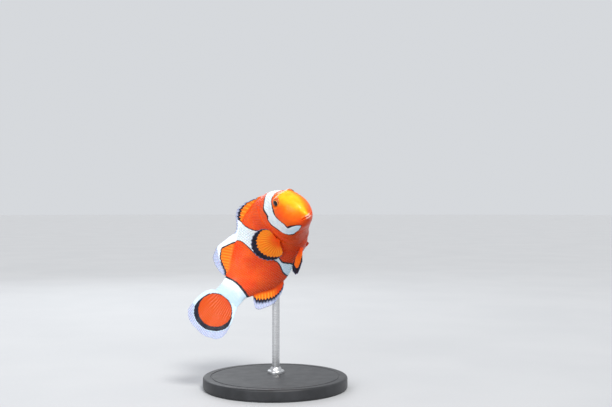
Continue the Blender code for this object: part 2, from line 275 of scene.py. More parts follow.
def outline_field(s, a):
    """Signed distance into the head band, and the same with its black line."""
    s, a = np.broadcast_arrays(s, a)
    x, y = s.ravel(), a.ravel() * .115
    w, k = np.full(x.shape, -.2), np.full(x.shape, -.2)
    near = np.where(x < .32)[0]
    x, y = x[near], y[near]
    v = np.array(HEAD_BAND, float)
    v[:, 1] *= .115
    best = np.full(x.shape, 9.0)
    wid = np.zeros(x.shape)
    inside = np.zeros(x.shape, bool)
    for i in range(len(v)):
        (x0, y0, w0), (x1, y1, w1) = v[i], v[(i + 1) % len(v)]
        dx, dy = x1 - x0, y1 - y0
        t = np.clip(((x - x0) * dx + (y - y0) * dy) / (dx * dx + dy * dy), 0, 1)
        d = np.hypot(x - x0 - t * dx, y - y0 - t * dy)
        m = d < best
        best = np.where(m, d, best)
        wid = np.where(m, w0 + (w1 - w0) * t, wid)
        cross = ((y0 > y) != (y1 > y)) & (x < x0 + (y - y0) * dx / (dy if dy else 1e-9))
        inside ^= cross
    sd = np.where(inside, best, -best)
    w[near], k[near] = sd, sd + wid
    return w.reshape(s.shape), k.reshape(s.shape)


def body_marks(s, a):
    """White and black fields of the body: positive inside, in units."""
    w1, k1 = outline_field(np.asarray(s, float), np.asarray(a, float))
    f, g = curve(*MB_F, a), curve(*MB_R, a)
    b = curve(*MB_B, a)
    w2 = np.minimum(s - f, g - s)
    k2 = np.minimum(s - (f - b), g + b * .8 - s)
    f = curve(*TB_F, a)
    w3, k3 = s - f, s - f + .0135
    return np.maximum(np.maximum(w1, w2), w3), np.maximum(np.maximum(k1, k2), k3)


def tail_marks(s, z, edge):
    """White, black and clear fields of the tail fin. edge is the way in from its rim."""
    dx, dz = s - DISC[0], z - DISC[1]
    rho = np.hypot(dx, dz)
    cosr = dx / (rho + 1e-9)
    ring = DISC[2] + .005 + .025 * smooth((cosr + .45) / 1.15)
    black = np.minimum(ring - rho, rho - DISC[2])
    black_in = ring - rho                      # black and all that it holds
    orange = DISC[2] - rho
    clear = np.minimum(rho - ring - .004, (s - np.where(z > 0, 1.150, 1.125) + .3 * (.02 - edge)) * .26)
    return orange, black_in, clear


# --------------------------------------------------------------- mesh store
class Store:
    """Vertices, faces and point fields of a joined mesh."""

    def __init__(self, fields):
        self.v, self.f, self.uv = [], [], []
        self.fields = {k: [] for k in fields}
        self.n = 0

    def add(self, pts, quads, uv, **fields):
        pts = np.asarray(pts, float).reshape(-1, 3)
        self.v.append(pts)
        self.f.append(np.asarray(quads, np.int64) + self.n)
        self.uv.append(np.asarray(uv, float).reshape(-1, 2))
        for k in self.fields:
            x = fields.get(k, 0.0)
            self.fields[k].append(np.broadcast_to(np.asarray(x, float).reshape(-1) if np.ndim(x) else x,
                                                  (len(pts),)).astype(float))
        self.n += len(pts)

    def build(self, name, mats, mat_index=None, flat=None):
        v = np.concatenate(self.v)
        f = np.concatenate(self.f)
        uv = np.concatenate(self.uv)
        me = bpy.data.meshes.new(name)
        tri = f[:, 3] == f[:, 2]
        totals = np.where(tri, 3, 4)
        starts = np.concatenate([[0], np.cumsum(totals)[:-1]])
        keep = np.ones(f.shape, bool)
        keep[tri, 3] = False
        loops = f[keep]
        me.vertices.add(len(v))
        me.vertices.foreach_set('co', v.astype(np.float32).ravel())
        me.loops.add(len(loops))
        me.loops.foreach_set('vertex_index', loops.astype(np.int32))
        me.polygons.add(len(f))
        me.polygons.foreach_set('loop_start', starts.astype(np.int32))
        me.polygons.foreach_set('loop_total', totals.astype(np.int32))
        if mat_index is not None:
            me.polygons.foreach_set('material_index', mat_index.astype(np.int32))
        me.update(calc_edges=True)
        sm = np.ones(len(f), bool) if flat is None else ~flat
        me.polygons.foreach_set('use_smooth', sm)
        layer = me.uv_layers.new(name='OFBake')
        layer.data.foreach_set('uv', uv[loops].astype(np.float32).ravel())
        for k, x in self.fields.items():
            at = me.attributes.new(k, 'FLOAT', 'POINT')
            at.data.foreach_set('value', np.concatenate(x).astype(np.float32))
        me.validate()
        ob = bpy.data.objects.new(name, me)
        bpy.context.scene.collection.objects.link(ob)
        for m in mats:
            me.materials.append(m)
        return ob


def grid_quads(n, m, close=False, flip=False):
    i = np.arange(n * m).reshape(n, m)
    if close:
        i = np.concatenate([i, i[:, :1]], 1)
    q = np.stack([i[:-1, :-1], i[1:, :-1], i[1:, 1:], i[:-1, 1:]], -1).reshape(-1, 4)
    return q[:, ::-1] if flip else q


FIELDS = ('m_white', 'm_black', 'm_clear', 'm_fin', 'm_ray', 'm_face', 'm_belly', 'm_lip', 'm_tone')

# --------------------------------------------------------------- fins on the midline
D_S = [.292, .300, .328, .372, .417, .472, .522, .560, .582, .600, .637, .707, .755, .800, .837, .864, .874]
D_H = [.000, .006, .022, .056, .067, .053, .032, .020, .018, .026, .056, .103, .108, .088, .055, .024, .000]
A_S = [.682, .690, .725, .778, .822, .848, .862, .873]
A_H = [.000, .020, .045, .056, .056, .048, .028, .000]


def dorsal(s):
    u1 = np.clip((s - .300) / .278, 0, 1)
    u2 = np.clip((s - .586) / .282, 0, 1)
    spiny = 1 - smooth((s - .570) / .03)
    h = curve(D_S, D_H, s) * ((s > .292) & (s < .874))
    lean = np.where(s < .582, .60 - .34 * u1 ** 1.5, .28 + .22 * u2)
    ph1 = (s - .300) / .0275
    ph2 = (s - .586) / .0178
    h = h * (1 - spiny * .085 * (.5 - .5 * np.cos(2 * PI * (ph1 % 1.0 - .5) * .98)) ** .6
             - (1 - spiny) * .018 * (.5 - .5 * np.cos(2 * PI * ph2)))
    clear = curve([.30, .40, .52, .60, .64, .71, .755, .80, .84, .868],
                  [.003, .012, .009, .008, .014, .028, .038, .044, .034, .010], s)
    black = curve([.30, .36, .45, .52, .60, .66, .71, .80, .84, .868],
                  [.003, .006, .014, .016, .010, .013, .015, .016, .015, .010], s)
    return h, lean, spiny, ph1, ph2, clear, black


def anal(s):
    u = np.clip((s - .690) / .176, 0, 1)
    h = curve(A_S, A_H, s) * ((s > .682) & (s < .873))
    lean = .80 + .90 * u
    ph = (s - .690) / .0147
    h = h * (1 - .018 * (.5 - .5 * np.cos(2 * PI * ph)))
    clear = curve([.69, .73, .80, .84, .866], [.005, .010, .018, .021, .010], s)
    black = curve([.69, .73, .80, .84, .866], [.005, .009, .012, .012, .007], s)
    return h, lean, ph, clear, black


def ray_shape(phase, depth, split=(.42, .74)):
    """Ridge of the fin rays, 0 between and 1 on a ray; rays fork toward the rim."""
    one = (.5 + .5 * np.cos(2 * PI * phase)) ** 2.2
    two = (.5 + .5 * np.cos(4 * PI * phase + PI)) ** 1.6
    k = smooth((depth - split[0]) / .25)
    return one * (1 - k) + two * k


# --------------------------------------------------------------- the skin of body and midline fins
n_flank, n_d, n_a = 116, 17, 15
s_cols = [-.014]
while s_cols[-1] < 1.0:
    s = s_cols[-1]
    s_cols.append(s + float(np.interp(s, [-.014, .03, .06, .27, .30, .34, .87, .90, 1.0],
                                      [.0011, .0016, .0024, .0024, .0018, .0024, .0024, .0030, .0030])))
s_cols = np.array(s_cols)
s_cols = -.014 + (s_cols + .014) * (1.014 / (s_cols[-1] + .014))
ncol = len(s_cols)

pf = np.linspace(0, 1, n_flank + 1)
qd = np.linspace(1, 0, n_d + 1)[:-1]      # from the dorsal rim down
qa = np.linspace(0, 1, n_a + 1)[1:]       # from the belly out to the rim
S = s_cols[:, None]


def root_half(s):
    w = section(s)[2]
    return np.minimum(.0165, .36 * w)


def fin_rows(s, side_up, q):
    """Rows over a midline fin. Returns station, lateral, height, fields."""
    t, b, w = section(s)
    t, b, w = t - COAT, b + COAT, w - np.minimum(COAT, w * .3)
    y0 = root_half(s)
    if side_up:
        h, lean, spiny, ph1, ph2, clear, black = dorsal(s)
        ray = spiny * bell(np.minimum(ph1 % 1.0, 1 - ph1 % 1.0), .17) \
            + (1 - spiny) * ray_shape(ph2, q)
    else:
        h, lean, ph, clear, black = anal(s)
        ray = ray_shape(ph, q)
    k = smooth(h / .020)
    d = q * h
    ray = ray * smooth(d / .008) * k
    ym, yt = .0034, .0013
    y = yt + (ym - yt) * (1 - q) + (y0 - ym) * np.exp(-d / .0105) + .0011 * ray * (1 - .4 * q)
    y = y * np.sqrt(np.clip(1 - q ** 20, 0, 1))
    y = y0 * (1 - q) * (1 - k) + y * k
    y = np.minimum(y, w * .98)
    cc = np.sqrt(np.clip(1 - (y / w) ** 2, 0, 1))
    z = (t + b) / 2 + (t - b) / 2 * cc if side_up else (t + b) / 2 - (t - b) / 2 * cc
    z = z + d if side_up else z - d
    ss = s + q * h * lean + .10 * h * q * q
    rim = (1 - q) * h
    return ss, y, z, dict(ray=ray, fin=smooth(d / .012) * k, d=d, rim=rim, h=h, clear=clear, black=black, k=k)


pts_all, fld_all = [], {k: [] for k in FIELDS}


def tone_fields(s, a):
    # face tint: the face's own yellower orange, strongest on top of the forehead as a painted highlight
    face = smooth((.232 - s) / .11) * curve([0, .30, .45, 1.0, 1.55, 2.2, 2.8, 3.15],
                                            [.97, .93, .80, .44, .20, .12, .06, .03], a)
    # painted shade: redder, less yellow, in the hollow below and in front of the eye
    face = face * (1 - .92 * bell(np.hypot(s - .122, (a - 1.18) * .085), .039))
    # painted shade: the lower side darker, as if lit from above, and the peduncle and tail darker as well
    belly = np.maximum(smooth((a - 1.5) / 1.2), .85 * smooth((s - .88) / .10))
    return face, belly


def half_skin(side):
    """All rows of one side, from the dorsal rim to the belly rim."""
    P, F = [], {k: [] for k in FIELDS}

    def put(p, **f):
        P.append(p)
        for k in FIELDS:
            F[k].append(np.broadcast_to(np.asarray(f.get(k, 0.0), float), p.shape[:-1]))

    # dorsal fin
    q = qd[None, :]
    ss, y, z, g = fin_rows(S, True, q)
    wave = .0030 * np.sin(ss * 38 + 1.0) * (g['d'] / .12) ** 1.5
    p = place(ss, -side * y + wave, z)
    a0 = np.arcsin(np.clip(root_half(S) / section(S)[2], 0, 1)) * (1 - q) * (1 - g['k']) + 0 * q
    _, lip = relief(S + 0 * q, side * (a0 + .001))
    flat_, _ = skin_point(S + 0 * q, side * (a0 + .001))
    p = p * g['k'][..., None] + flat_ * (1 - g['k'])[..., None] if g['k'].ndim > 1 else p
    # white runs up through the notch; black and clear edges follow the rim
    wb, kb = body_marks(S + 0 * q, a0)
    w_f = np.minimum(ss - .513, .645 - ss)
    k_f = np.minimum(ss - .507, .650 - ss)
    soft = smooth((S - .62) / .03)
    clear = g['clear'] * (1 - .12 * soft)
    inner = g['rim'] - clear - g['black'] * (1 - .28 * soft) * (1 + (.25 - .15 * soft) * np.sin(S * 350))
    blk = -inner
    clr = clear - g['rim'] + .0015 * (1 - .5 * soft) * np.sin(S * 350)
    off = (1 - g['k']) * .05
    m_w = np.where(g['k'] > .5, w_f, wb)
    m_k = np.where(g['k'] > .5, np.maximum(k_f, blk - off), kb)
    m_c = np.where(g['k'] > .5, clr - off, -.05)
    m_w = np.where(g['k'] > .5, np.maximum(m_w, np.minimum(np.minimum(clr + .004, .785 - S), S - .60)), m_w)
    corner = (g['d'] - 1.30 * (S - .640)) / 1.64
    gate = np.minimum(S - .600, .740 - S)
    m_w = np.where(g['k'] > .5, np.maximum(m_w, np.minimum(corner, gate)), m_w)
    m_k = np.where(g['k'] > .5, np.maximum(m_k, np.minimum(corner + .0085, gate + .004)), m_k)
    m_c = m_c - (g['clear'] + .006) * (1 - smooth((S - .650) / .115)) * smooth((S - .59) / .02)
    face, _ = tone_fields(S, a0)
    # painted shade: the dorsal fin a little darker, the peduncle and tail darker
    put(p, m_white=m_w, m_black=m_k, m_clear=m_c, m_fin=g['fin'], m_ray=g['ray'],
        m_face=face * (1 - g['fin']), m_belly=np.maximum(.25 * g['fin'], .85 * smooth((S - .88) / .10)), m_lip=lip * (1 - g['k']),
        m_tone=g['fin'] * (1 - .35 * soft))
    # flank
    pd = np.arcsin(np.clip(root_half(S) / section(S)[2], 0, 1))
    phi = pd + pf[None, :] * (PI - 2 * pd)
    edge_w = smooth(phi / .5) * smooth((PI - phi) / .4)
    sw = S + (warp(S, phi) - S) * edge_w
    hd = dorsal(S)[0]
    p, n = skin_point(sw, side * phi)
    # continuity with the fins' own rows where they start
    wb, kb = body_marks(sw, phi)
    _, lip = relief(sw, side * phi)
    face, belly = tone_fields(sw, phi)
    # hollow for the eyeball
    for tag in EYES:
        c, out, t, u = EYES[tag]
        v = p - c
        along = v @ out
        rad = np.linalg.norm(v - along[..., None] * out, axis=-1)
        r = rad / EYE_R
        near = (along > -EYE_R) & (r < 1.7)
        lift = np.where(near, .00016 * bell(r - .98, .17) - .00004 * bell(r - 1.30, .12), 0)
        p = p + n * lift[..., None]
        deep = np.where(near & (r < .80), smooth((.80 - r) / .10) * .0012, 0)
        p = p - out * deep[..., None]
    put(p, m_white=wb, m_black=kb, m_clear=-.05, m_fin=0, m_ray=0, m_face=face, m_belly=belly, m_lip=lip, m_tone=0)
    # anal fin
    q = qa[None, :]
    ss, y, z, g = fin_rows(S, False, q)
    wave = .0025 * np.sin(ss * 33 + .4) * (g['d'] / .1) ** 1.5
    p = place(ss, -side * y + wave, z)
    a0 = PI - np.arcsin(np.clip(root_half(S) / section(S)[2], 0, 1)) * (1 - q) * (1 - g['k'])
    _, lip = relief(S + 0 * q, side * (a0 - .001))
    flat_, _ = skin_point(S + 0 * q, side * (a0 - .001))
    p = p * g['k'][..., None] + flat_ * (1 - g['k'])[..., None]
    wb, kb = body_marks(S + 0 * q, a0)
    blk = -(g['rim'] - g['clear'] - g['black'] * (1 + .2 * np.sin(S * 427)))
    clr = g['clear'] - g['rim'] + .0015 * np.sin(S * 427)
    off = (1 - g['k']) * .05
    # the tail band's black line stays off the fin that overhangs it
    wk, kk = np.where(g['k'] > .5, -.05, wb), np.where(g['k'] > .5, -.05, kb)
    face, belly = tone_fields(S, a0)
    rear = smooth((S - .728) / .060)
    put(p, m_white=wk, m_black=np.where(g['k'] > .5, np.maximum(kk, blk - off), kk),
        m_clear=np.where(g['k'] > .5, clr - off, -.05), m_fin=g['fin'] * (.35 + .65 * rear), m_ray=g['ray'],
        m_face=face, m_belly=belly * (1 - g['fin'] * (.45 + .55 * rear)), m_lip=lip * (1 - g['k']),
        m_tone=g['fin'] * rear)
    return np.concatenate(P, 1), {k: np.concatenate(F[k], 1) for k in FIELDS}


def tail_half(side, rr):
    """Loops of the tail fin beyond the body, one side, dorsal rim to lower rim."""
    s1 = np.array([[1.0]])
    w = float(section(s1)[2][0, 0]) * .7
    t, b, _ = section(s1)
    t, b = float(t[0, 0]) - COAT, float(b[0, 0]) + COAT
    mid, half = (t + b) / 2, (t - b) / 2
    pd = math.asin(.36)
    phi = pd + pf * (PI - 2 * pd)
    a_body = np.concatenate([np.cos(pd * (1 - qd)), np.cos(phi), np.cos(PI - pd * (1 - qa))])
    lat0 = np.concatenate([w * np.sin(pd * (1 - qd)), w * np.sin(phi), w * np.sin(pd * (1 - qa))])
    a_lin = np.concatenate([1 + 0 * qd, 1 - 2 * pf, -1 + 0 * qa])
    edge = np.concatenate([np.sqrt(np.clip(1 - qd ** 2, 0, 1)), 1 + 0 * pf, np.sqrt(np.clip(1 - qa ** 2, 0, 1))])
    r = rr[:, None]
    mix = smooth(r / .22)
    a = a_body * (1 - mix) + a_lin * mix
    rim_s, rim_z = curve(RIM_A, RIM_S, a), curve(RIM_A, RIM_Z, a)
    ray_len = rim_s - 1.0
    phase = (a * 7.6 + 8.0)
    ray = ray_shape(phase, r, (.30, .62)) * smooth(r / .10) * smooth((1.04 - np.abs(a)) / .05)
    scal = 1 - .010 * (.5 - .5 * np.cos(4 * PI * phase)) * smooth((r - .6) / .4)
    z0 = mid + a * (half * (1 - mix) + .079 * mix)
    swell = np.where(a > 0, .036 * np.sin(PI * r ** .60), -.015 * np.sin(PI * r ** .75)) * np.abs(a) ** 3
    ts = 1.0 + r * ray_len * scal
    tz = z0 + (rim_z - z0) * r * scal + swell
    T = (.0046 * (1 - r) + .0013 * r) * smooth(r / .10) + .0012 * ray * (1 - .45 * r)
    T = T + .0005 * ray * np.cos(r * 150) * smooth((r - .25) / .2)
    lat = (lat0 * np.exp(-(r * ray_len) / .032) + T) * np.where(r > 0, edge ** mix, 1)
    wave = .0060 * np.sin(a * 3.3 + .5) * smooth(r) + .0022 * np.sin(a * 11 + 1) * r ** 2
    p = place(ts, -side * lat + wave, tz)
    rim = (1 - r) * ray_len
    orange, black_in, clear = tail_marks(ts, tz, rim)
    jag = .0022 * np.sin(phase * 4 * PI)
    m_black = black_in + jag
    m_white = -(black_in) + 0 * a
    m_orange = orange + jag * .6
    body_w, body_k = body_marks(ts, np.arccos(np.clip(a, -1, 1)))
    # inside the ring: orange disc; ring black; outside white turning clear
    white = np.where(black_in < .02, -black_in, -.05)
    # painted shade over the whole tail fin
    F = dict(m_white=np.minimum(-black_in - jag, .05), m_black=np.where(black_in > 0, -m_orange, .05),
             m_clear=np.minimum(clear, .05), m_fin=smooth(r / .12) + 0 * a, m_ray=ray, m_face=0 * a,
             m_belly=.85 + .15 * smooth(r / .2) + 0 * a, m_lip=0 * a, m_tone=smooth(r / .2) * .12 + 0 * a)
    return p, F


skin = Store(FIELDS)
halves = {sd: half_skin(sd) for sd in (1, -1)}
nc = 92
rr = np.linspace(0, 1, nc + 1)[1:] ** .97
tails = {sd: tail_half(sd, rr) for sd in (1, -1)}
R_, L_ = halves[1][0], halves[-1][0]
Rt, Lt = tails[1][0], tails[-1][0]


def ring(right, left):
    """Right rows then left rows reversed; the two rims are shared."""
    return np.concatenate([right, left[:, -2:0:-1]], 1)


P = np.concatenate([ring(R_, L_), ring(Rt, Lt)], 0)
Fd = {}
for k in FIELDS:
    a = ring(halves[1][1][k], halves[-1][1][k])
    b = ring(np.broadcast_to(tails[1][1][k], Rt.shape[:2]), np.broadcast_to(tails[-1][1][k], Lt.shape[:2]))
    Fd[k] = np.concatenate([a, b], 0)
nr, nl = P.shape[:2]
half_n = R_.shape[1]
# front cap: the loops close on the lips
caps, capf = [], {k: [] for k in FIELDS}
lat_c, z_c = flank(np.array(-.014), 0.0)
front = P[0]
centre = place(np.array(-.0195), np.array(0.0), np.array(float(mouth_line(np.array(-.014)))))
nk = 9
kk = np.linspace(0, 1, nk + 1)[:-1][1:]
fwd = frame_at(np.array(-.014))[1]
upv = frame_at(np.array(-.014))[3]
for k in kk[::-1]:
    base = centre + (front - centre) * (1 - k)
    bulge = .0030 * UNIT * math.sin(PI * k) ** 1.0
    q = base + fwd * bulge
    dz = ((q - centre) @ upv) / UNIT
    lipm = bell(np.abs(dz) - .0072, .0050)
    q = q + fwd * (((.0038 * lipm - .0090 * bell(dz, .0026)) * UNIT * smooth(k / .25))[:, None])
    caps.append(q)
    for kf in FIELDS:
        capf[kf].append(Fd[kf][0] * (1 - k) + k * (np.clip(lipm * 1.5, 0, 1) if kf == 'm_lip' else Fd[kf][0]))
caps = np.array(caps)
P = np.concatenate([caps, P], 0)
for kf in FIELDS:
    Fd[kf] = np.concatenate([np.array(capf[kf]), Fd[kf]], 0)
nr = len(P)
quads = grid_quads(nr, nl, close=True)
# centre of the mouth and closing strip of the tail's rim
extra = []
ci = nr * nl
i0 = np.arange(nl)
extra.append(np.stack([(i0 + 1) % nl, i0, np.full(nl, ci), np.full(nl, ci)], -1))
last = (nr - 1) * nl
extra.append(np.array([[last, last + nl - 1, last + 1, last + 1]]))
i = np.arange(1, half_n - 2)
jl = (nl - i) % nl
jl2 = (nl - i - 1) % nl
extra.append(np.stack([last + i, last + jl, last + jl2, last + i + 1], -1))
extra.append(np.array([[last + half_n - 2, last + half_n, last + half_n - 1, last + half_n - 1]]))
quads = np.concatenate([quads] + extra)
uu = np.linspace(.005, .80, nr)[:, None] + 0 * P[..., 0]
rowpos = np.linspace(.005, .99, nl)[None, :] + 0 * P[..., 0]
uvs = np.stack([uu, rowpos], -1)
allp = np.concatenate([P.reshape(-1, 3), (centre - fwd * .0035 * UNIT * 0)[None]])
fl = {k: np.concatenate([Fd[k].ravel(), [Fd[k][0, 0]]]) for k in FIELDS}
skin.add(allp, quads, np.concatenate([uvs.reshape(-1, 2), [[.004, .5]]]), **fl)


# --------------------------------------------------------------- paired fins
def paired(name, side, s, z, half_root, axis_b, spread_b, length, fan, cup, round_, na, nv, rays, black, clear,
           uv_box, tone, base_t):
    ph = side * float(phi_of(s, z))
    p0 = raw_skin(np.array(s), ph)
    t = raw_skin(np.array(s - .01), ph) - raw_skin(np.array(s + .01), ph)
    u = raw_skin(np.array(s), ph - side * .05) - raw_skin(np.array(s), ph + side * .05)
    t, u = t / np.linalg.norm(t), u / np.linalg.norm(u)
    out = np.cross(t, u) * side
    out = out / np.linalg.norm(out)
    ax = t * axis_b[0] + out * axis_b[1] + u * axis_b[2]
    ax = ax / np.linalg.norm(ax)
    sp = t * spread_b[0] + out * spread_b[1] + u * spread_b[2]
    sp = sp - ax * (sp @ ax)
    sp = sp / np.linalg.norm(sp)
    root = sp - out * (sp @ out)
    root = root / np.linalg.norm(root)
    nrm = np.cross(ax, sp)
    if nrm @ out < 0:
        nrm = -nrm
    a = np.linspace(-1, 1, na)[:, None]
    r = np.concatenate([[-.20, -.12, -.05], np.linspace(0, 1, nv) ** .9])[None, :]
    ang = a * fan
    phase = (a + 1) / 2 * rays
    rp = np.clip(r, 0, 1)
    scal = 1 - .028 * (.5 - .5 * np.cos(2 * PI * phase)) * smooth((r - .6) / .4)
    ln = length * np.cos(ang) ** round_ * scal
    ray = ray_shape(phase + .5, rp, (.5, .8)) * smooth(rp / .12)
    flex = cup * (r * r) * (1 - .6 * a * a) + .0045 * np.sin(a * 5 + 1.2) * rp ** 2
    g = (p0 + out * .0004 + (root * (a * half_root * UNIT)[..., None])
         + (ax * (ln * r * np.cos(ang) * UNIT)[..., None]) + (sp * (ln * r * np.sin(ang) * UNIT)[..., None])
         + nrm * (flex * UNIT)[..., None])
    d = ln * r
    T = .0036 * (1 - rp) + .0014 * rp + base_t * np.exp(-np.maximum(d, 0) / .020) + .0012 * ray * (1 - .4 * rp)
    T = T + .0004 * ray * np.cos(rp * 90) * smooth((rp - .25) / .2)
    T = T * np.sqrt(np.clip(1 - np.abs(a) ** 16, 0, 1)) * np.sqrt(np.clip(1 - rp ** 30, 0, 1))
    A = g + nrm * (T * UNIT)[..., None]
    B = g - nrm * (T * UNIT)[..., None]
    rim = (1 - rp) * ln
    wide = fan > .8
    # the black margin follows the rim and gives out on the leading and lower rays
    fade = (.22 + .78 * smooth((a + 1.0) / .45)) * (.45 + .55 * smooth((1.0 - a) / .5)) if wide else 1.0
    jag = (.0030 * np.sin(phase * 2 * PI) + .0012 * np.sin(phase * 5.2 * PI)) * (1 if wide else .6)
    kf = np.where(rp > 0, black * fade - rim / np.maximum(np.cos(ang), .35) * .8, -.05) + jag
    cf = clear * fade - rim + .4 * jag
    # painted shade near the fin's root
    F = dict(m_white=-.05 + 0 * g[..., 0], m_black=kf, m_clear=cf, m_fin=smooth(d / .02), m_ray=ray,
             m_face=0 * kf, m_belly=.15 * (1 - smooth(d / .03)) + 0 * kf, m_lip=0 * kf, m_tone=tone * smooth(rp / .5) + 0 * kf)
    n0, n1 = g.shape[:2]
    q1 = grid_quads(n0, n1, flip=(side > 0))
    q2 = grid_quads(n0, n1, flip=(side < 0)) + n0 * n1
    idx = np.arange(n0 * n1).reshape(n0, n1)
    loop = np.concatenate([idx[:, 0], idx[-1, 1:], idx[-2::-1, -1], idx[0, -2:0:-1]])
    nx = np.roll(loop, -1)
    q3 = np.stack([loop, nx, nx + n0 * n1, loop + n0 * n1], -1)
    if side > 0:
        q3 = q3[:, ::-1]
    x0, y0, x1, y1 = uv_box
    U = x0 + (x1 - x0) * (a + 1) / 2 + 0 * r
    V = y0 + (y1 - y0) * .48 * (r + .20) / 1.20 + 0 * a
    uva = np.stack([U, V], -1)
    uvb = np.stack([U, V + (y1 - y0) * .5], -1)
    skin.add(np.concatenate([A.reshape(-1, 3), B.reshape(-1, 3)]), np.concatenate([q1, q2, q3]),
             np.concatenate([uva.reshape(-1, 2), uvb.reshape(-1, 2)]),
             **{k: np.concatenate([F[k].ravel(), F[k].ravel()]) for k in FIELDS})


PECT_S, PECT_Z, PELV_S, PELV_Z = .366, -.066, .385, -.212
paired('pectoral_fin_right', 1, PECT_S, PECT_Z, .034, (-.656, .459, .630), (.004, .247, .954), .178, 1.35, .010, .7,
       150, 46, 18, .032, .003, (.81, .01, .99, .24), .9, .0100)
paired('pectoral_fin_left', -1, PECT_S, PECT_Z, .034, (-.93, .36, .08), (.10, .20, 1.0), .212, 1.22, .010, .7,
       150, 46, 17, .038, .004, (.81, .26, .99, .49), .9, .0100)
paired('pelvic_fin_right', 1, PELV_S, PELV_Z, .016, (-.836, .504, .341), (.648, .652, -.217), .171, .446, .0, 6.9,
       64, 50, 6, .037, .003, (.81, .51, .99, .74), .45, .0080)
paired('pelvic_fin_left', -1, PELV_S, PELV_Z, .012, (-.93, .17, .33), (.43, .45, .47), .171, .36, .0, 6.9,
       64, 50, 6, .034, .003, (.81, .76, .99, .99), .45, .0045)

# --------------------------------------------------------------- node helpers
class Nodes:
    def __init__(self, name):
        self.m = bpy.data.materials.new(name)
        self.m.use_nodes = True
        self.t = self.m.node_tree
        self.p = self.t.nodes['Principled BSDF']
        self.out = self.t.nodes['Material Output']

    def new(self, kind, **props):
        n = self.t.nodes.new(kind)
        for k, v in props.items():
            setattr(n, k, v)
        return n

    def put(self, sock, v):
        if hasattr(v, 'is_output') or isinstance(v, bpy.types.NodeSocket):
            self.t.links.new(v, sock)
        elif isinstance(v, (tuple, list)) and len(v) == 3 and sock.type == 'RGBA':
            sock.default_value = (*v, 1)
        else:
            sock.default_value = v

    def attr(self, name):
        n = self.new('ShaderNodeAttribute', attribute_name=name)
        return n.outputs['Fac']

    def math(self, op, a, b=None, c=None, clamp=False):
        n = self.new('ShaderNodeMath', operation=op, use_clamp=clamp)
        self.put(n.inputs[0], a)
        if b is not None:
            self.put(n.inputs[1], b)
        if c is not None:
            self.put(n.inputs[2], c)
        return n.outputs[0]

    def ramp(self, x, lo, hi, a=0.0, b=1.0):
        n = self.new('ShaderNodeMapRange', interpolation_type='SMOOTHSTEP')
        self.put(n.inputs['Value'], x)
        for k, v in (('From Min', lo), ('From Max', hi), ('To Min', a), ('To Max', b)):
            self.put(n.inputs[k], v)
        return n.outputs['Result']

    def mix(self, f, a, b, mode='MIX'):
        n = self.new('ShaderNodeMix', data_type='RGBA', blend_type=mode)
        self.put(n.inputs[0], f)
        self.put(n.inputs[6], a)
        self.put(n.inputs[7], b)
        return n.outputs[2]

    def noise(self, scale, detail=3.0, rough=.55, vec=None):
        n = self.new('ShaderNodeTexNoise')
        n.inputs['Scale'].default_value = scale
        n.inputs['Detail'].default_value = detail
        n.inputs['Roughness'].default_value = rough
        self.t.links.new(vec if vec is not None else self.coord(), n.inputs['Vector'])
        return n.outputs['Fac']

    def voronoi(self, scale, feature='F1'):
        n = self.new('ShaderNodeTexVoronoi', feature=feature)
        n.inputs['Scale'].default_value = scale
        self.t.links.new(self.coord(), n.inputs['Vector'])
        return n.outputs['Distance']

    def coord(self):
        if not hasattr(self, '_c'):
            self._c = self.new('ShaderNodeTexCoord').outputs['Object']
        return self._c

    def bump(self, height, strength, dist, normal=None):
        n = self.new('ShaderNodeBump')
        n.inputs['Strength'].default_value = strength
        n.inputs['Distance'].default_value = dist
        self.put(n.inputs['Height'], height)
        if normal is not None:
            self.put(n.inputs['Normal'], normal)
        return n.outputs['Normal']


